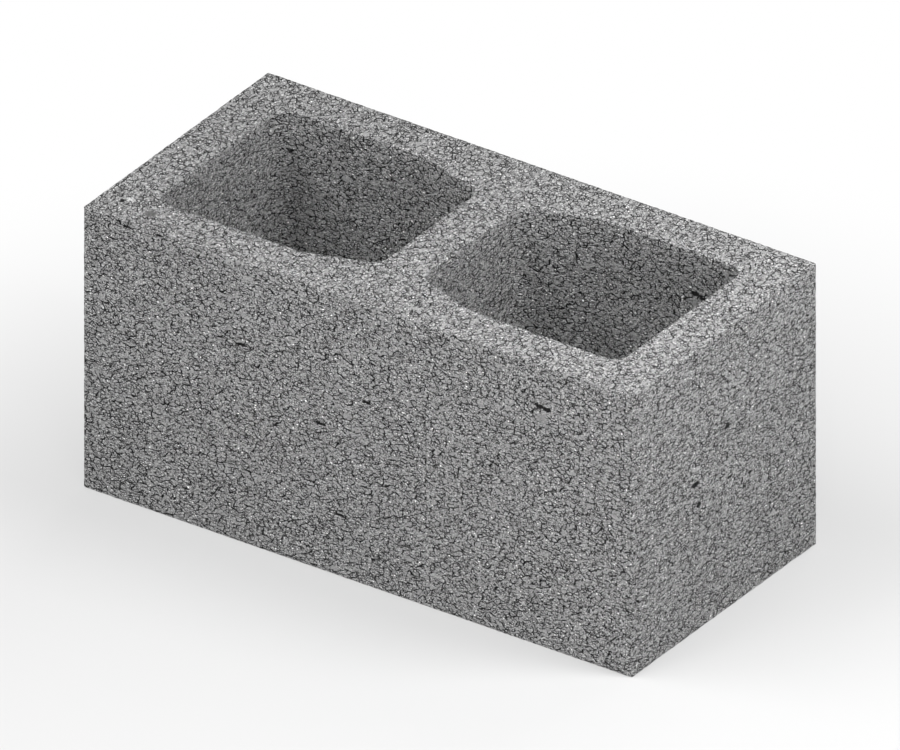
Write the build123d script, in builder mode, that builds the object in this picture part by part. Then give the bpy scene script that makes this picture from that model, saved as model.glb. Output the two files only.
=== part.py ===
from build123d import *
import os

# Hollow concrete block with two open cores, cast in one piece and standing as it leaves the mould.
# Millimetres and degrees. The origin is the middle of the underside, +X runs along the length, +Z is up.

# Overall size: the 400 x 200 x 200 building module less one 10 mm mortar joint
length = 390
width = 190
height = 190

# Walls round the cores, measured on the top face, where they are thinnest
face_shell = 30
end_web = 30
centre_web = 30

# Both face shells thicken in a straight flare as they come up to the centre web
flare_length = 45
flare_depth = 15

# What the mould leaves: rounded core corners, draft for stripping, eased outer arrises
core_corner_radius = 10
core_draft = 1
arris_radius = 0.5

# Outline of one core in plan, from the centre web out to the end web
core_inner_x = centre_web / 2
core_outer_x = length / 2 - end_web
core_half_width = width / 2 - face_shell
core_half_width_at_web = core_half_width - flare_depth

top_plane = Plane.XY.offset(height)

with BuildPart() as concrete_block:
    # Outer body
    with BuildSketch() as footprint:
        Rectangle(length, width)
    extrude(amount=height)
    fillet(concrete_block.edges(), radius=arris_radius)

    # The two cores, mirror images of each other, cut right through from the top
    with BuildSketch(top_plane) as core_mouths:
        with BuildLine() as core_outline:
            Polyline(
                (core_outer_x, 0),
                (core_outer_x, core_half_width),
                (core_inner_x + flare_length, core_half_width),
                (core_inner_x, core_half_width_at_web),
                (core_inner_x, 0),
            )
            mirror(about=Plane.XZ)
        make_face()
        mirror(about=Plane.YZ)
    extrude(amount=-height, mode=Mode.SUBTRACT)

    # Every core wall leans in towards the underside, so the webs and shells thicken downwards
    core_walls = concrete_block.faces(Select.LAST).filter_by(Axis.Z, reverse=True)
    draft(core_walls, neutral_plane=top_plane, angle=core_draft)

    # Only the core edges run the whole height: the outer ones stop short at the eased arrises
    upright_edges = concrete_block.edges().filter_by(Plane.XY, reverse=True)
    core_edges = upright_edges.filter_by(lambda edge: edge.length > height - arris_radius)

    # The corners at both webs are rounded, and the start of each flare stays a plain angle
    at_centre_web, at_flare_start, at_end_web = core_edges.group_by(lambda edge: abs(edge.center().X))
    fillet(at_centre_web + at_end_web, radius=core_corner_radius)

concrete_block.part.label = "concrete_block"
os.makedirs("parts", exist_ok=True)
export_step(concrete_block.part, "parts/concrete_block.step")
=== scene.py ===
import math

import bpy
import numpy as np
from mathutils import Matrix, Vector


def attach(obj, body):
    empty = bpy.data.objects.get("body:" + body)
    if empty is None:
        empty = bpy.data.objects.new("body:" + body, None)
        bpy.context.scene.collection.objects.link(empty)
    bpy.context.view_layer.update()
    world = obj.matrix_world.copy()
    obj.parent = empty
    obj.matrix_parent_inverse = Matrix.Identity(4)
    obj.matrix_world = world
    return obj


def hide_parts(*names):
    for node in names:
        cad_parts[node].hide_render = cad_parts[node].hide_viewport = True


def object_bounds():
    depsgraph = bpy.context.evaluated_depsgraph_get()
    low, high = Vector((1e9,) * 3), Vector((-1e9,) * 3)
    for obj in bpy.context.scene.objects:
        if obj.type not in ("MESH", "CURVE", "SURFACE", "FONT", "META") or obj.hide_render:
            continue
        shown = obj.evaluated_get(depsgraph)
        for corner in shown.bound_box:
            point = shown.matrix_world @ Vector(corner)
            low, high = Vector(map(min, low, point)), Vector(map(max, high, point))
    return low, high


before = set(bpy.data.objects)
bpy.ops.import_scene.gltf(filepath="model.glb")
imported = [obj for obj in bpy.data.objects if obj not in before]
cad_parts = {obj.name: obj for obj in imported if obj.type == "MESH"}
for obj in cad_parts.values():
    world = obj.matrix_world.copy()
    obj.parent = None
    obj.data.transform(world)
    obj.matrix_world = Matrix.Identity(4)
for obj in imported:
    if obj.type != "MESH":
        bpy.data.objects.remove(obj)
cad_low, cad_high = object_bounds()

MM = 0.001

# Sizes of the block, in metres
LENGTH, WIDTH, HEIGHT = cad_high - cad_low
FACE_SHELL = 30 * MM
END_WEB = 30 * MM
CENTRE_WEB = 30 * MM
FLARE_LENGTH = 45 * MM
FLARE_DEPTH = 15 * MM
CORE_CORNER_RADIUS = 10 * MM
CORE_DRAFT = math.radians(1)
ARRIS_RADIUS = 0.5 * MM
UPRIGHT_EDGE_RADIUS = 0.7 * MM
RIM_RADIUS = 0.8 * MM

# Mesh density: one quad is about GRID wide on the top and the outer faces
GRID = 2.1 * MM
EDGE_STEPS = 2
ARRIS_STEPS = 2
RIM_STEPS = 2
ARC_STEPS = 12
LONG_COLUMNS = round(LENGTH / 2 / GRID)
END_COLUMNS = round(WIDTH / GRID)
WEB_COLUMNS = 64
TOP_RINGS = round(FACE_SHELL / GRID)
BOTTOM_RINGS = 8
CLOSE_ROWS_DEPTH = HEIGHT / 5
CORE_ROW_GROWTH = 1.12
LONGEST_CORE_ROW = 9 * MM
SAME_POINT = 0.01 * MM
CHART_GAP = 8 * MM

# Points on the runs round one half of the block: front, end, back and the middle, where the halves meet
LONG_RUN = LONG_COLUMNS + EDGE_STEPS // 2
END_RUN = END_COLUMNS + EDGE_STEPS
RUN_COUNTS = [LONG_RUN, END_RUN, LONG_RUN, WEB_COLUMNS]
OUTER_COLUMNS = LONG_RUN + END_RUN + LONG_RUN + 1

# Camera, as measured in the photograph
IMAGE_WIDTH = 900
PIXELS_PER_METRE = 1710.1
VIEW_AZIMUTH = math.radians(34.67)
VIEW_ELEVATION = math.radians(30.23)
CAMERA_DISTANCE = 3.0

# Concrete: sizes of the stones and grains in it, along the front face
GRAVEL_SIZE = 6.4 * MM
GRIT_SIZE = 3.3 * MM
SAND_SIZE = 1.65 * MM
PASTE_SIZE = 1.05 * MM

# Concrete: share of the gravel that is bare, and how far in from its edges a bare face starts and is full
GRAVEL_SHARE = 0.22
GRAVEL_SHARE_BLUR = 0.02
BARE_FACE_START = 0.3 * MM
BARE_FACE_FULL = 1.2 * MM

# Concrete: pale specks
SPECK_SPACING = 3 * MM
SPECK_SHARE = 0.07
SPECK_SHARE_BLUR = 0.01
SPECK_RADIUS = 0.7 * MM
SPECK_CORE = 0.4

# Concrete: how the patterns lie. A factor over 1 makes a pattern finer, and one under 1 makes it longer
PRESSED_FLATTER = 1.5
ACROSS_LONGER = 0.72
END_FINER = 1.25
BED_FINER = 1.6

# Concrete: what keeps the patterns of different faces apart, and how noise is turned off the block's axes
FACE_SHIFT = 0.37
PATTERN_TURN = (0.5, 0.7, 0.3)

# Concrete: how outlines wander. A bend is: size of the waves, how far they reach
GRAVEL_BEND = (6 * MM, 2 * MM)
GRIT_BEND = (2.5 * MM, 0.6 * MM)
MARK_BEND = (2 * MM, 0.7 * MM)

# Concrete: depths of the relief in the mesh
STONE_SINK = 0.15 * MM
CREASE_DEPTH = 0.2 * MM
CREASE_REACH = 1.8 * MM
WAVE_DEPTH = 0.1 * MM
WAVE_SIZE = 30 * MM
PIT_DEPTH = 0.5 * MM

# Concrete: heights of the finer relief in the material. A shoulder is how far in a grain's edge is rounded
GRAVEL_HEIGHT = 0.35 * MM
GRAVEL_SHOULDER = 0.8 * MM
GRIT_HEIGHT = 0.4 * MM
GRIT_SHOULDER = 0.65 * MM
SAND_HEIGHT = 0.9 * MM
SAND_SHOULDER = 0.6 * MM
PASTE_HEIGHT = 0.15 * MM
CRACK_DEPTH = 0.25 * MM

# Concrete: cracks. A crack is: length of the runs in which it opens and shuts, its reach to each side at most
GRAVEL_CRACK = (4.2 * MM, 0.92 * MM)
GRIT_CRACK = (2.6 * MM, 0.77 * MM)
SAND_CRACK = (2.2 * MM, 0.24 * MM)
SAND_CRACK_STRENGTH = 0.7

# Concrete: noise at which cracks are shut or wide open, a shut one's reach, and the share that is darkest
CRACK_SHUT = 0.47
CRACK_WIDE = 0.6
HAIRLINE = 0.02
CRACK_CORE = 0.45

# Concrete: step up a face that tells a stone's lower edge, and how much of a crack is left at its upper edge.
# Cracks widen under stones as painted shade
UNDER_STEP = 0.3 * MM
UPPER_CRACKS = 0.2

# Concrete: its grey level, how far each pattern moves the grey that is seen, and its finish. A sand grain has
# the concrete's own grey at SAND_MIDDLE of its height
CONCRETE_LEVEL = 0.41
SEEN_POWER = 2.2
STONE_GRAIN = 0.45
PASTE_SHADE = 1.06
# Sand grains carry painted shade: darker at their rounded edges and paler in their middles
SAND_PAINTED_SHADE = 0.2
SAND_MIDDLE = 0.7
STONE_TONES = 0.05
DARKEST_SHADE = 0.3
# Cracks are darkened as painted shade in the gaps between stones
CRACK_PAINTED_SHADE = 0.06
SPECK_SHADE = 0.75
CONCRETE_ROUGHNESS = 0.9
CONCRETE_SPECULAR = 0.3

# Marks on the block, in millimetres from the middle of its underside. A pit is: centre, reach
PITS = [
    ((-180.4, -76, 190), (1.5, 2.2, 1.5)),
    ((-170.5, -95, 188.4), (3.0, 2.0, 0.9)),
    ((-165.0, -95, 186.4), (3.0, 2.0, 0.9)),
    ((-141.0, -95, 187.8), (3.8, 2.0, 1.0)),
    ((-82.6, -95, 133.4), (6.0, 2.0, 1.2)),
    ((-26.8, -95, 98.8), (5.0, 2.0, 1.5)),
    ((6.0, -95, 123.6), (4.4, 2.0, 1.3)),
    ((-11.9, -95, 41.5), (6.5, 2.0, 1.1)),
    ((129.5, -95, 162.0), (4.0, 2.0, 1.9)),
    ((134.5, -95, 161.2), (4.0, 2.0, 1.8)),
    ((129.0, 65, 161.6), (4.0, 3.0, 2.3)),
    ((134.0, 65, 160.6), (4.0, 3.0, 2.3)),
    ((195, -29.7, 99.1), (2.0, 5.0, 2.0)),
    ((195, 3.7, 123.0), (2.0, 3.6, 1.8)),
    ((195, 6.7, 87.7), (2.0, 3.6, 1.1)),
    ((195, 20.6, 74.6), (2.0, 1.6, 1.6)),
    ((195, -25.6, 83.9), (2.0, 3.2, 2.0)),
    ((195, 26.8, 80.8), (2.0, 2.2, 1.3)),
]

# A smooth mark is: centre, reach, its grey as a share of the concrete's own
SMOOTH_MARKS = [
    ((-158.0, -79.5, 190), (4.6, 4.6, 2.5), 0.63),
    ((-177.0, -72.0, 190), (4.2, 2.7, 2.5), 1.2),
    ((130.7, -95, 154.0), (5.2, 2.5, 4.8), 0.91),
    ((129.0, 65, 156.0), (5.0, 3.0, 3.6), 0.9),
]

# How dark the painted shade in pits is, how strong the grain is on smooth marks, and the share of a mark's
# reach that is full
PIT_PAINTED_SHADE = 0.15
MARK_GRAIN = 0.55
MARK_CORE = 0.5

# Floor and light, with distances in metres. A lamp is: name, azimuth and elevation in degrees, distance,
# width across, watts
FLOOR_REACH = 4.0
FLOOR_LEVEL = 0.4
FLOOR_GLOW = 0.36
FADE_CENTRE = (0.09, -0.13, 0)
FADE_START = 0.25
FADE_END = 0.6
WORLD_LEVEL = 0.26
LAMPS = [
    ("front_lamp", 0, 45, 0.9, 0.3, 2.6),
    ("right_lamp", 98, 45, 0.9, 0.3, 5.4),
    ("low_lamp", 43, 5, 1.5, 0.6, 8.0),
    ("left_lamp", 310, 55, 2.6, 1.5, 30),
    ("back_lamp", 180, 50, 2.6, 1.5, 9),
]


# Block mesh: outlines in plan

def polygon_drawn_in(points, inset):
    """Corners of a convex anticlockwise polygon whose sides are all moved in by inset."""
    ahead = np.roll(points, -1, axis=0) - points
    ahead /= np.linalg.norm(ahead, axis=1, keepdims=True)
    inward = np.stack([-ahead[:, 1], ahead[:, 0]], axis=1)
    start = points + inward * inset
    corners = []
    for i in range(len(points)):
        sides = np.stack([ahead[i - 1], -ahead[i]], axis=1)
        along, _ = np.linalg.solve(sides, start[i] - start[i - 1])
        corners.append(start[i - 1] + ahead[i - 1] * along)
    return np.array(corners)


def corner_arc(before, corner, after):
    """Points of the arc that rounds a core's corner, from the side before it to the side after it."""
    back = (before - corner) / np.linalg.norm(before - corner)
    on = (after - corner) / np.linalg.norm(after - corner)
    half = math.acos(np.clip(back @ on, -1, 1)) / 2
    middle = (back + on) / np.linalg.norm(back + on)
    centre = corner + middle * CORE_CORNER_RADIUS / math.sin(half)
    first = corner + back * CORE_CORNER_RADIUS / math.tan(half) - centre
    last = corner + on * CORE_CORNER_RADIUS / math.tan(half) - centre
    turn = np.linspace(0, 1, 2 * ARC_STEPS + 1)[:, None]
    sweep = math.pi - 2 * half
    mixed = np.sin((1 - turn) * sweep) * first + np.sin(turn * sweep) * last
    return centre + mixed / math.sin(sweep)


def spread_along(line, count):
    """count points evenly along a polyline, its last point left out."""
    steps = np.linalg.norm(np.diff(line, axis=0), axis=1)
    reached = np.concatenate([[0], np.cumsum(steps)])
    wanted = np.linspace(0, reached[-1], count, endpoint=False)
    return np.stack([np.interp(wanted, reached, line[:, axis]) for axis in (0, 1)], axis=1)


def core_outline(inset):
    """Plan outline of the right core, drawn in by inset. It runs anticlockwise from the front corner at the
    centre web."""
    inner_x, outer_x = CENTRE_WEB / 2, LENGTH / 2 - END_WEB
    half = WIDTH / 2 - FACE_SHELL
    half_at_web = half - FLARE_DEPTH
    flare_x = inner_x + FLARE_LENGTH
    corners = polygon_drawn_in(np.array([
        (inner_x, -half_at_web), (flare_x, -half), (outer_x, -half),
        (outer_x, half), (flare_x, half), (inner_x, half_at_web),
    ]), inset)
    web_front, flare_front, end_front, end_back, flare_back, web_back = corners
    rounds = {
        "web_front": corner_arc(web_back, web_front, flare_front),
        "end_front": corner_arc(flare_front, end_front, end_back),
        "end_back": corner_arc(end_front, end_back, flare_back),
        "web_back": corner_arc(flare_back, web_back, web_front),
    }
    leaving = {name: arc[ARC_STEPS:] for name, arc in rounds.items()}
    reaching = {name: arc[:ARC_STEPS + 1] for name, arc in rounds.items()}
    runs = [
        np.concatenate([leaving["web_front"], [flare_front], reaching["end_front"]]),
        np.concatenate([leaving["end_front"], reaching["end_back"]]),
        np.concatenate([leaving["end_back"], [flare_back], reaching["web_back"]]),
        np.concatenate([leaving["web_back"], reaching["web_front"]]),
    ]
    return np.concatenate([spread_along(run, count) for run, count in zip(runs, RUN_COUNTS)])


def outer_outline(inset):
    """Plan outline of the block's right half, drawn in by inset. It runs anticlockwise from the middle of the
    front face, and its last stretch is the line where the two halves meet."""
    reach_x, reach_y = LENGTH / 2 - UPRIGHT_EDGE_RADIUS, WIDTH / 2 - UPRIGHT_EDGE_RADIUS
    radius = UPRIGHT_EDGE_RADIUS - inset
    side_y = WIDTH / 2 - inset
    turn = np.linspace(0, math.pi / 2, EDGE_STEPS, endpoint=False)
    along = np.linspace(0, reach_x, LONG_COLUMNS, endpoint=False)
    across = np.linspace(-reach_y, reach_y, END_COLUMNS, endpoint=False)
    joint = np.linspace(side_y, -side_y, WEB_COLUMNS, endpoint=False)
    front = [(x, -side_y) for x in along]
    front_edge = [(reach_x + radius * math.sin(t), -reach_y - radius * math.cos(t)) for t in turn]
    end = [(LENGTH / 2 - inset, y) for y in across]
    back_edge = [(reach_x + radius * math.cos(t), reach_y + radius * math.sin(t)) for t in turn]
    back = [(reach_x - x, side_y) for x in along]
    return np.array(front + front_edge + end + back_edge + back + [(0, y) for y in joint])


# Block mesh: rings of points from the outlines

def level(plan, side, z):
    """A plan outline as points at height z. side is 1 for the right half and -1 for its mirror image."""
    return np.column_stack([plan[:, 0] * side, plan[:, 1], np.full(len(plan), z)])


def rings_between(first, last, count):
    """Rings from first to last, in count even steps."""
    return [first + (last - first) * t for t in np.linspace(0, 1, count + 1)]


def quarter_turn(radius, steps):
    """(distance from the side, drop from the face) along a rounded edge, from the face to the side."""
    angles = np.linspace(0, math.pi / 2, steps + 1)
    return [(radius * (1 - math.sin(a)), radius * (1 - math.cos(a))) for a in angles]


def core_depths():
    """Depths of the rows down a core wall: close together near the mouth, further apart below."""
    depths, step = [RIM_RADIUS], GRID
    while depths[-1] + step < HEIGHT - RIM_RADIUS - step / 2:
        depths.append(depths[-1] + step)
        if depths[-1] > CLOSE_ROWS_DEPTH:
            step = min(step * CORE_ROW_GROWTH, LONGEST_CORE_ROW)
    return depths[1:] + [HEIGHT - RIM_RADIUS]


def inner_rings(side):
    """Rings from the top's outer edge over the rim, down the core and out to the underside's outer edge. They
    are in three lists: the top and its rim, the core's wall, and the lower rim and the underside."""
    # drawn_in is how far each point of the outline moves for each metre of inset
    mouth = core_outline(0)
    drawn_in = (core_outline(MM) - mouth) / MM

    def core_ring(inset, z):
        return level(mouth + drawn_in * inset, side, z)

    lean = math.tan(CORE_DRAFT)
    foot = HEIGHT * lean
    edge = outer_outline(ARRIS_RADIUS)
    rim = quarter_turn(RIM_RADIUS, RIM_STEPS)
    top = rings_between(level(edge, side, HEIGHT), core_ring(-RIM_RADIUS, HEIGHT), TOP_RINGS)
    top += [core_ring(-gap, HEIGHT - drop) for gap, drop in rim[1:]]
    wall = [core_ring(depth * lean, HEIGHT - depth) for depth in core_depths()]
    under = [core_ring(foot - gap, drop) for gap, drop in rim[-2::-1]]
    under += rings_between(under[-1], level(edge, side, 0), BOTTOM_RINGS)[1:]
    return top, wall, under


def outer_rows(side):
    """Rows down the outside of one half, between the top's outer edge and the underside's."""
    arris = quarter_turn(ARRIS_RADIUS, ARRIS_STEPS)
    straight = np.linspace(ARRIS_RADIUS, HEIGHT - ARRIS_RADIUS, round(HEIGHT / GRID))[::-1]
    levels = [(gap, HEIGHT - drop) for gap, drop in arris[1:]]
    levels += [(0, z) for z in straight[1:]]
    levels += arris[-2:0:-1]
    return [level(outer_outline(gap), side, z)[:OUTER_COLUMNS] for gap, z in levels]


# Block mesh: skin with its texture map

class Surface:
    """Collects the quads of the block's skin, patch by patch, each with its own chart of the texture map."""

    def __init__(self):
        self.points, self.faces, self.charts = [], [], []
        self.count = 0

    def add_points(self, points):
        numbers = np.arange(self.count, self.count + len(points))
        self.points.append(points)
        self.count += len(points)
        return numbers

    def add_patch(self, numbers, chart, flip):
        """Quads between the rows and columns of a grid of point numbers. chart has their texture places."""
        corners = [(slice(None, -1), slice(None, -1)), (slice(1, None), slice(None, -1)),
                   (slice(1, None), slice(1, None)), (slice(None, -1), slice(1, None))]
        if not flip:
            corners.reverse()
        self.faces.append(np.stack([numbers[c].ravel() for c in corners], axis=1))
        self.charts.append(np.stack([chart[c].reshape(-1, 2) for c in corners], axis=1))


def closed(grid):
    """A grid whose first column is repeated after its last."""
    return np.concatenate([grid, grid[:, :1]], axis=1)


def unrolled(places):
    """Places on a core's wall as distance round its mouth and height."""
    steps = np.linalg.norm(np.diff(places[0, :, :2], axis=0), axis=1)
    around = np.concatenate([[0], np.cumsum(steps)])
    return np.stack(np.broadcast_arrays(around[None, :], places[:, :, 2]), axis=2)


def block_half(surface, side, charts):
    """One half of the block's skin. side is 1 for the right half and -1 for the left."""
    flip = side < 0

    # Top, underside and core
    top_rings, wall_rings, under_rings = inner_rings(side)
    rings = top_rings + wall_rings + under_rings
    grid = np.stack([surface.add_points(ring) for ring in rings])
    places = np.stack(rings)
    first_wall = len(top_rings) - 1
    last_wall = first_wall + len(wall_rings)
    top = slice(0, first_wall + 1)
    wall = slice(first_wall, last_wall + 1)
    under = slice(last_wall, None)
    surface.add_patch(closed(grid[top]), charts["top"](closed(places[top])), flip)
    surface.add_patch(closed(grid[under]), charts["under"](closed(places[under])), flip)
    surface.add_patch(closed(grid[wall]), charts["core", side](unrolled(closed(places[wall]))), flip)

    # Front, end and back
    outside = outer_rows(side)
    numbers = [surface.add_points(row) for row in outside]
    side_grid = np.stack([grid[0, :OUTER_COLUMNS]] + numbers + [grid[-1, :OUTER_COLUMNS]])
    side_places = np.stack([places[0, :OUTER_COLUMNS]] + outside + [places[-1, :OUTER_COLUMNS]])
    first_end = LONG_COLUMNS
    last_end = OUTER_COLUMNS - 1 - LONG_COLUMNS
    faces = {
        "front": slice(0, first_end + 1),
        ("end", side): slice(first_end, last_end + 1),
        "back": slice(last_end, OUTER_COLUMNS),
    }
    for name, columns in faces.items():
        surface.add_patch(side_grid[:, columns], charts[name](side_places[:, columns]), not flip)


def texture_charts():
    """Where each face lies on the texture map: functions from places on the block to map places, 0 to 1."""
    row = HEIGHT + CHART_GAP
    map_side = 2 * LENGTH + 3 * CHART_GAP
    second_column = LENGTH + 2 * CHART_GAP
    core_column = WIDTH + 2 * CHART_GAP

    def chart(left, rows_below, u, v):
        bottom = CHART_GAP + rows_below * row
        return lambda places: np.stack([left + u(places), bottom + v(places)], axis=2) / map_side

    def x(p):
        return p[:, :, 0] + LENGTH / 2

    def mirrored_x(p):
        return LENGTH / 2 - p[:, :, 0]

    def y(p):
        return p[:, :, 1] + WIDTH / 2

    def mirrored_y(p):
        return WIDTH / 2 - p[:, :, 1]

    def z(p):
        return p[:, :, 2]

    def around(p):
        return p[:, :, 0]

    def height(p):
        return p[:, :, 1]

    return {
        "front": chart(CHART_GAP, 0, x, z),
        "back": chart(second_column, 0, mirrored_x, z),
        "top": chart(CHART_GAP, 1, x, y),
        "under": chart(second_column, 1, x, mirrored_y),
        ("end", 1): chart(CHART_GAP, 2, y, z),
        ("end", -1): chart(CHART_GAP, 3, mirrored_y, z),
        ("core", 1): chart(core_column, 2, around, height),
        ("core", -1): chart(core_column, 3, around, height),
    }


def block_mesh():
    """The block's whole skin as one closed mesh, still smooth, with its texture map."""
    surface = Surface()
    charts = texture_charts()
    for side in (1, -1):
        block_half(surface, side, charts)
    points = np.concatenate(surface.points)
    faces = np.concatenate(surface.faces)
    maps = np.concatenate(surface.charts)

    # The halves share the points on the middle plane
    _, first, same = np.unique(np.round(points / SAME_POINT).astype(int), axis=0,
                               return_index=True, return_inverse=True)
    mesh = bpy.data.meshes.new("concrete_block_skin")
    mesh.from_pydata(points[first].tolist(), [], same.reshape(-1)[faces].tolist())
    uv = mesh.uv_layers.new(name="OFBake")
    uv.data.foreach_set("uv", maps.reshape(-1).astype(np.float32))
    mesh.polygons.foreach_set("use_smooth", np.ones(len(faces), bool))
    place = mesh.attributes.new("cast_place", "FLOAT_VECTOR", "POINT")
    place.data.foreach_set("vector", points[first].astype(np.float32).reshape(-1))
    mesh.validate()
    return mesh


# Concrete: patterns shared by the relief and the material

class NodeKit:
    """Adds nodes to a shader or geometry node tree. Most methods return the new node's output."""

    def __init__(self, tree):
        self.tree = tree

    def add(self, kind, inputs, **settings):
        """The new node itself, with its settings and inputs."""
        node = self.tree.nodes.new(kind)
        for name, value in settings.items():
            setattr(node, name, value)
        for name, value in inputs.items():
            self.feed(node.inputs[name], value)
        return node

    def feed(self, socket, value):
        """Links another node's output to a socket, or sets a plain value on it."""
        if isinstance(value, bpy.types.NodeSocket):
            self.tree.links.new(value, socket)
        else:
            socket.default_value = value

    def math(self, operation, *values):
        return self.add("ShaderNodeMath", dict(enumerate(values)), operation=operation).outputs[0]

    def times(self, first, *others):
        for other in others:
            first = self.math("MULTIPLY", first, other)
        return first

    def plus(self, first, *others):
        for other in others:
            first = self.math("ADD", first, other)
        return first

    def centred(self, value):
        """A value from 0 to 1 as one from -0.5 to 0.5."""
        return self.plus(value, -0.5)

    def vector(self, operation, *values, output="Vector"):
        node = self.add("ShaderNodeVectorMath", dict(enumerate(values)), operation=operation)
        return node.outputs[output]

    def measure(self, operation, *values):
        """Vector arithmetic whose result is one number."""
        return self.vector(operation, *values, output="Value")

    def ramp(self, value, start, end, low=0.0, high=1.0):
        """low at start, high at end, with a smooth step between them and no change beyond them."""
        inputs = {"Value": value, "From Min": start, "From Max": end, "To Min": low, "To Max": high}
        return self.add("ShaderNodeMapRange", inputs, interpolation_type="SMOOTHSTEP").outputs["Result"]

    def ease(self, share, none, full):
        """none where share is 0, full where it is 1."""
        return self.ramp(share, 0, 1, none, full)

    def choose(self, chance, first, second):
        """first where chance is 0, second where it is 1."""
        return self.math("MULTIPLY_ADD", chance, self.math("SUBTRACT", second, first), first)

    def noise(self, place, size, detail=0.0, output="Fac"):
        inputs = {"Vector": place, "Scale": 1 / size, "Detail": detail}
        return self.add("ShaderNodeTexNoise", inputs).outputs[output]

    def voronoi(self, place, size, feature, output):
        inputs = {"Vector": place, "Scale": 1 / size}
        node = self.add("ShaderNodeTexVoronoi", inputs, feature=feature, voronoi_dimensions="2D")
        return node.outputs[output]

    def split(self, vector):
        return self.add("ShaderNodeSeparateXYZ", {"Vector": vector}).outputs

    def bend(self, place, noise_place, size, amount):
        """The place moved about by noise of the given size, by up to about amount."""
        wander = self.vector("SUBTRACT", self.noise(noise_place, size, output="Color"), (0.5, 0.5, 0.5))
        return self.vector("MULTIPLY_ADD", wander, (2 * amount,) * 3, place)


def cast_pattern(kit, place):
    """The place as noise takes it: drawn out across the block and pressed flatter, as the grains are, and
    then turned off the block's axes."""
    pressed = kit.vector("MULTIPLY", place, (1, ACROSS_LONGER, PRESSED_FLATTER))
    inputs = {"Vector": pressed, "Rotation": PATTERN_TURN}
    return kit.add("ShaderNodeVectorRotate", inputs, rotation_type="EULER_XYZ").outputs["Vector"]


def face_pattern(kit, place, normal):
    """The place as flat patterns take it: along the face that it is on, as the normal says, and up it. The
    distance out to the face shifts the pattern, so that no two faces share one."""
    x, y, z = kit.split(place)
    lean_x, lean_y, lean_z = (kit.math("ABSOLUTE", lean) for lean in kit.split(normal))
    on_end = kit.math("GREATER_THAN", lean_x, lean_y)
    on_bed = kit.math("GREATER_THAN", lean_z, kit.math("MAXIMUM", lean_x, lean_y))
    across = kit.times(y, ACROSS_LONGER)
    along = kit.choose(on_bed, kit.choose(on_end, x, across), x)
    up = kit.choose(on_bed, kit.times(z, PRESSED_FLATTER), across)
    finer = kit.choose(on_bed, kit.choose(on_end, 1, END_FINER), BED_FINER)
    shift = kit.times(kit.choose(on_bed, kit.choose(on_end, y, x), z), FACE_SHIFT)
    flat = kit.add("ShaderNodeCombineXYZ", {
        "X": kit.plus(kit.times(along, finer), shift),
        "Y": kit.plus(kit.times(up, finer), shift),
    })
    return flat.outputs["Vector"]


def stone_edge(kit, flat, size):
    """Distance from the gaps between stones of the given size, in metres."""
    return kit.times(kit.voronoi(flat, size, "DISTANCE_TO_EDGE", "Distance"), size)


def gravel(kit, place, flat):
    """Largest stones, pressed flat against the mould: where they lie, distance from the gaps between them,
    how far a place is on a bare stone's face, and two random values a stone."""
    bent = kit.bend(flat, place, *GRAVEL_BEND)
    edge = stone_edge(kit, bent, GRAVEL_SIZE)
    chance = kit.split(kit.voronoi(bent, GRAVEL_SIZE, "F1", "Color"))
    bare = kit.ramp(chance[0], GRAVEL_SHARE + GRAVEL_SHARE_BLUR, GRAVEL_SHARE - GRAVEL_SHARE_BLUR)
    face = kit.times(bare, kit.ramp(edge, BARE_FACE_START, BARE_FACE_FULL))
    return bent, edge, face, chance[1], chance[2]


def spot(kit, place, centre, reach):
    """1 about a centre, falling to 0 at its reach. Both are in millimetres."""
    away = kit.vector("SUBTRACT", place, tuple(MM * value for value in centre))
    share = kit.vector("DIVIDE", away, tuple(MM * value for value in reach))
    return kit.ramp(kit.measure("LENGTH", share), 1, MARK_CORE)


def pits(kit, place):
    """1 in the pits that mark the block, 0 elsewhere."""
    found = 0.0
    for centre, reach in PITS:
        found = kit.math("MAXIMUM", found, spot(kit, place, centre, reach))
    return found


# Concrete: relief in the mesh

def blank_relief(name):
    tree = bpy.data.node_groups.new(name, "GeometryNodeTree")
    tree.interface.new_socket("Geometry", in_out="INPUT", socket_type="NodeSocketGeometry")
    tree.interface.new_socket("Geometry", in_out="OUTPUT", socket_type="NodeSocketGeometry")
    return tree


def relief_nodes():
    """Geometry nodes that press the skin in along its normals, as deep as the concrete's larger relief."""
    tree = blank_relief("concrete_relief")
    kit = NodeKit(tree)
    cast_place = kit.add("GeometryNodeInputPosition", {}).outputs["Position"]
    place = cast_pattern(kit, cast_place)
    normal = kit.add("GeometryNodeInputNormal", {}).outputs["Normal"]
    _, edge, _, depth_chance, _ = gravel(kit, place, face_pattern(kit, cast_place, normal))
    sunk = kit.times(depth_chance, STONE_SINK)
    crease = kit.ramp(edge, CREASE_REACH, 0, 0, CREASE_DEPTH)
    wave = kit.times(kit.noise(place, WAVE_SIZE, detail=1), WAVE_DEPTH)
    pit = kit.times(pits(kit, cast_place), PIT_DEPTH)
    depth = kit.plus(sunk, crease, wave, pit)
    inward = kit.add("ShaderNodeVectorMath", {0: normal, "Scale": kit.times(depth, -1)}, operation="SCALE")
    start = kit.add("NodeGroupInput", {}).outputs["Geometry"]
    moved = kit.add("GeometryNodeSetPosition", {"Geometry": start, "Offset": inward.outputs["Vector"]})
    kit.add("NodeGroupOutput", {"Geometry": moved.outputs["Geometry"]}, is_active_output=True)
    return tree


def press_relief(piece):
    """Applies the relief to the piece's mesh, so that no modifier is left on it."""
    piece.modifiers.new("relief", "NODES").node_group = relief_nodes()
    solved = piece.evaluated_get(bpy.context.evaluated_depsgraph_get())
    smooth = piece.data
    piece.data = bpy.data.meshes.new_from_object(solved)
    piece.modifiers.clear()
    bpy.data.meshes.remove(smooth)
    piece.data.name = "concrete_block_cast"


# Concrete: material

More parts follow.
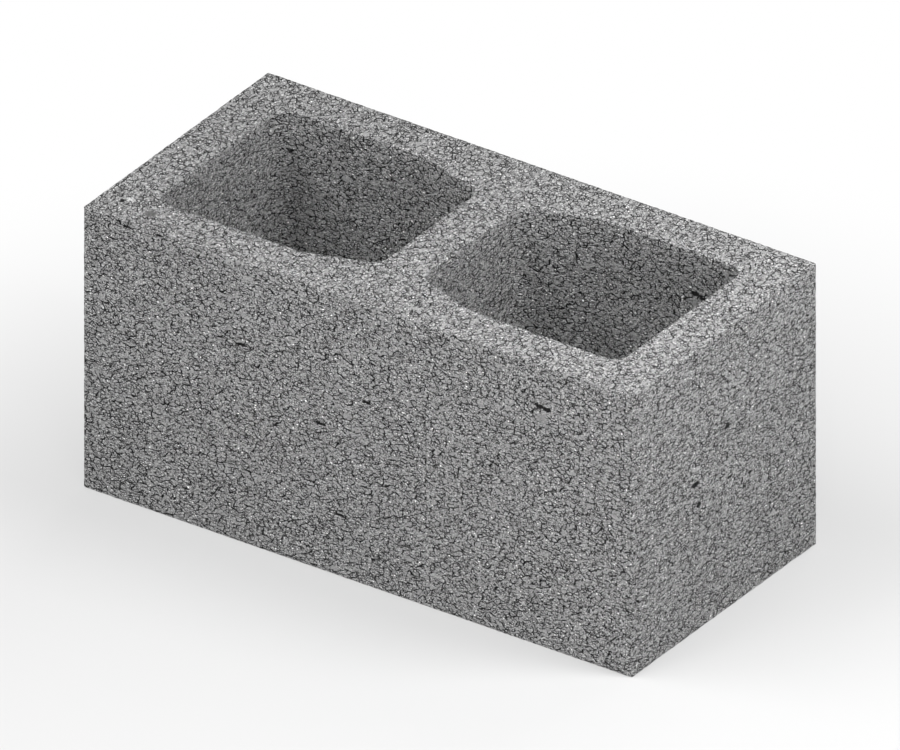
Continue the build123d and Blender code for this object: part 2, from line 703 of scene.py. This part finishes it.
def painted_shade_and_relief_under_stones(kit, flat, size, edge):
    """1 at stones' lower edges, where the distance from the edge grows upwards, and less at upper edges. It
    widens cracks there as painted shade under the stones, and the grit cracks' relief with them.
    """
    above = stone_edge(kit, kit.vector("ADD", flat, (0, UNDER_STEP, 0)), size)
    return kit.ramp(kit.math("SUBTRACT", above, edge), -UNDER_STEP, UNDER_STEP, UPPER_CRACKS, 1)


def open_cracks(kit, place, edge, run, reach):
    """Cracks that open and shut along stones' edges, in runs of the given length: 1 in an open crack."""
    opening = kit.ramp(kit.noise(place, run), CRACK_SHUT, CRACK_WIDE, HAIRLINE, 1)
    open_reach = kit.times(opening, reach)
    return kit.ramp(edge, open_reach, kit.times(open_reach, CRACK_CORE))


def stone_cracks(kit, place, flat, size, edge, run, reach):
    """Open cracks round stones of the given size, widest under them, as painted shade below the stones."""
    return open_cracks(kit, place, edge, run, kit.times(painted_shade_and_relief_under_stones(kit, flat, size, edge), reach))


def bright_specks(kit, flat):
    """Small pale specks, each near the middle of a cell of its own."""
    chance = kit.split(kit.voronoi(flat, SPECK_SPACING, "F1", "Color"))[0]
    chosen = kit.ramp(chance, 1 - SPECK_SHARE, 1 - SPECK_SHARE + SPECK_SHARE_BLUR)
    distance = kit.voronoi(flat, SPECK_SPACING, "F1", "Distance")
    reach = SPECK_RADIUS / SPECK_SPACING
    return kit.times(chosen, kit.ramp(distance, reach, SPECK_CORE * reach))


def block_marks(kit, place, cast_place):
    """How far the painted shade in the block's pits and the smooth marks' own greys change the grey, and 0 on
    the smooth marks, 1 off them.
    """
    mark_place = kit.bend(cast_place, place, *MARK_BEND)
    # Pits are darkened as painted shade in their hollows
    shade = kit.ease(pits(kit, mark_place), 1, PIT_PAINTED_SHADE)
    unmarked = 1.0
    for centre, reach, mark_shade in SMOOTH_MARKS:
        mark = spot(kit, mark_place, centre, reach)
        shade = kit.times(shade, kit.ease(mark, 1, mark_shade))
        unmarked = kit.times(kit.math("SUBTRACT", 1, mark), unmarked)
    return shade, unmarked


def grey_colour(kit, seen):
    """The colour that the shader takes for a grey as it is seen, where 1 is the concrete's own."""
    grey = kit.times(kit.math("POWER", seen, SEEN_POWER), CONCRETE_LEVEL)
    return kit.add("ShaderNodeCombineColor", {"Red": grey, "Green": grey, "Blue": grey}).outputs["Color"]


def concrete():
    """Gravel, grit and sand in grey paste, with open cracks between them, and with the block's marks."""
    material = bpy.data.materials.new("pressed_concrete")
    material.use_nodes = True
    material.node_tree.nodes.clear()
    kit = NodeKit(material.node_tree)
    cast_place = kit.add("ShaderNodeAttribute", {}, attribute_name="cast_place").outputs["Vector"]
    normal = kit.add("ShaderNodeNewGeometry", {}).outputs["True Normal"]
    place = cast_pattern(kit, cast_place)
    flat = face_pattern(kit, cast_place, normal)

    # Stones and grains, and how strong the grain and its painted shade are on bare stones and smooth marks
    gravel_flat, gravel_edge, bare_face, _, tone_chance = gravel(kit, place, flat)
    grit_flat = kit.bend(flat, place, *GRIT_BEND)
    grit_edge = stone_edge(kit, grit_flat, GRIT_SIZE)
    sand_edge = stone_edge(kit, grit_flat, SAND_SIZE)
    paste = kit.noise(place, PASTE_SIZE)
    # mark_shade holds the painted shade in the pits and the smooth marks' own greys
    mark_shade, unmarked = block_marks(kit, place, cast_place)
    grain_share = kit.times(kit.ease(bare_face, 1, STONE_GRAIN), kit.ease(unmarked, MARK_GRAIN, 1))

    # Cracks, which stop at the smooth marks. Their darkness in the colour is painted shade in the gaps
    # between stones
    gravel_crack = stone_cracks(kit, place, gravel_flat, GRAVEL_SIZE, gravel_edge, *GRAVEL_CRACK)
    grit_crack = stone_cracks(kit, place, grit_flat, GRIT_SIZE, grit_edge, *GRIT_CRACK)
    sand_crack = open_cracks(kit, place, sand_edge, *SAND_CRACK)
    sand_crack = kit.times(sand_crack, grain_share, SAND_CRACK_STRENGTH)
    crack = kit.math("MAXIMUM", kit.math("MAXIMUM", gravel_crack, grit_crack), sand_crack)
    crack = kit.times(crack, unmarked)

    # Greys are summed as they are seen. The sand grains' dark edges, the cracks and the pits are painted
    # shade
    paste_grain = kit.times(kit.centred(paste), PASTE_SHADE)
    # Sand grains get painted shade at their rounded edges
    sand_edge_painted_shade = kit.times(kit.plus(kit.ramp(sand_edge, 0, SAND_SHOULDER), -SAND_MIDDLE), SAND_PAINTED_SHADE)
    grain = kit.times(kit.plus(paste_grain, sand_edge_painted_shade), grain_share)
    tone = kit.times(kit.centred(tone_chance), STONE_TONES)
    seen = kit.math("MAXIMUM", kit.plus(1, tone, grain), DARKEST_SHADE)
    # The cracks darken the grey as painted shade, and the pits as well
    seen = kit.times(seen, kit.ease(crack, 1, CRACK_PAINTED_SHADE), mark_shade)
    seen = kit.math("MULTIPLY_ADD", bright_specks(kit, grit_flat), SPECK_SHADE, seen)

    # Finer relief, in metres
    height = kit.plus(
        kit.times(kit.ramp(gravel_edge, 0, GRAVEL_SHOULDER), GRAVEL_HEIGHT),
        kit.times(kit.ramp(grit_edge, 0, GRIT_SHOULDER), GRIT_HEIGHT),
        kit.times(kit.noise(place, SAND_SIZE), SAND_HEIGHT),
        kit.times(paste, PASTE_HEIGHT),
        kit.times(grit_crack, -CRACK_DEPTH),
    )
    bump = kit.add("ShaderNodeBump", {"Height": height, "Distance": 1.0}).outputs["Normal"]
    shader = kit.add("ShaderNodeBsdfPrincipled", {
        "Base Color": grey_colour(kit, seen),
        "Roughness": CONCRETE_ROUGHNESS,
        "Specular IOR Level": CONCRETE_SPECULAR,
        "Normal": bump,
    })
    kit.add("ShaderNodeOutputMaterial", {"Surface": shader.outputs["BSDF"]})
    return material


def make_block():
    block = bpy.data.objects.new("concrete_block_cast", block_mesh())
    bpy.context.scene.collection.objects.link(block)
    press_relief(block)
    block.data.materials.append(concrete())
    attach(block, "root")
    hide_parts("concrete_block")


# Camera, floor and light

def aim(thing, azimuth, elevation, distance):
    """Places a camera or lamp round the block's middle, looking at it. Angles are in radians: an azimuth of 0
    is in front, and a quarter turn is to the right."""
    away = Vector((math.sin(azimuth) * math.cos(elevation), -math.cos(azimuth) * math.cos(elevation),
                   math.sin(elevation)))
    thing.location = (cad_low + cad_high) / 2 + away * distance
    thing.rotation_mode = "QUATERNION"
    thing.rotation_quaternion = away.to_track_quat("Z", "Y")
    bpy.context.scene.collection.objects.link(thing)


def make_camera():
    camera = bpy.data.objects.new("camera", bpy.data.cameras.new("camera"))
    camera.data.type = "ORTHO"
    camera.data.ortho_scale = IMAGE_WIDTH / PIXELS_PER_METRE
    aim(camera, VIEW_AZIMUTH, VIEW_ELEVATION, CAMERA_DISTANCE)
    bpy.context.scene.camera = camera


def make_lamp(name, azimuth, elevation, distance, across, watts):
    lamp = bpy.data.lights.new(name, "AREA")
    lamp.shape = "DISK"
    lamp.size = across
    lamp.energy = watts
    aim(bpy.data.objects.new(name, lamp), math.radians(azimuth), math.radians(elevation), distance)


def is_seen(kit):
    """1 for rays that show a surface, straight or in a reflection, and 0 for rays that light others."""
    path = kit.add("ShaderNodeLightPath", {}).outputs
    mirrored = kit.math("MAXIMUM", path["Is Glossy Ray"], path["Is Transmission Ray"])
    return kit.math("MAXIMUM", path["Is Camera Ray"], mirrored)


def floor_material():
    """Grey floor that keeps the shadows. Where it is seen it is lifted, and far from the block it fades to
    white."""
    material = bpy.data.materials.new("studio_floor")
    material.use_nodes = True
    material.node_tree.nodes.clear()
    kit = NodeKit(material.node_tree)
    grey = (FLOOR_LEVEL, FLOOR_LEVEL, FLOOR_LEVEL, 1)
    paint = kit.add("ShaderNodeBsdfDiffuse", {"Color": grey}).outputs["BSDF"]
    glow = kit.add("ShaderNodeEmission", {"Strength": FLOOR_GLOW}).outputs["Emission"]
    lifted = kit.add("ShaderNodeAddShader", {0: paint, 1: glow}).outputs["Shader"]
    white = kit.add("ShaderNodeEmission", {"Strength": 1.0}).outputs["Emission"]
    place = kit.add("ShaderNodeNewGeometry", {}).outputs["Position"]
    fade = kit.ramp(kit.measure("DISTANCE", place, FADE_CENTRE), FADE_START, FADE_END)
    shown = kit.add("ShaderNodeMixShader", {0: fade, 1: lifted, 2: white}).outputs["Shader"]
    mixed = kit.add("ShaderNodeMixShader", {0: is_seen(kit), 1: paint, 2: shown}).outputs["Shader"]
    kit.add("ShaderNodeOutputMaterial", {"Surface": mixed})
    return material


def make_floor():
    corners = [(x * FLOOR_REACH, y * FLOOR_REACH, 0) for x, y in ((-1, -1), (1, -1), (1, 1), (-1, 1))]
    mesh = bpy.data.meshes.new("floor")
    mesh.from_pydata(corners, [], [(0, 1, 2, 3)])
    mesh.materials.append(floor_material())
    floor = bpy.data.objects.new("floor", mesh)
    bpy.context.scene.collection.objects.link(floor)


def make_world():
    """Even light from all round, white where it is seen."""
    world = bpy.data.worlds.new("studio")
    bpy.context.scene.world = world
    world.use_nodes = True
    kit = NodeKit(world.node_tree)
    background = world.node_tree.nodes["Background"].inputs
    background["Color"].default_value = (1, 1, 1, 1)
    kit.feed(background["Strength"], kit.math("MAXIMUM", is_seen(kit), WORLD_LEVEL))


make_block()
make_floor()
make_world()
make_camera()
for lamp in LAMPS:
    make_lamp(*lamp)
bpy.context.scene.view_settings.view_transform = "Standard"
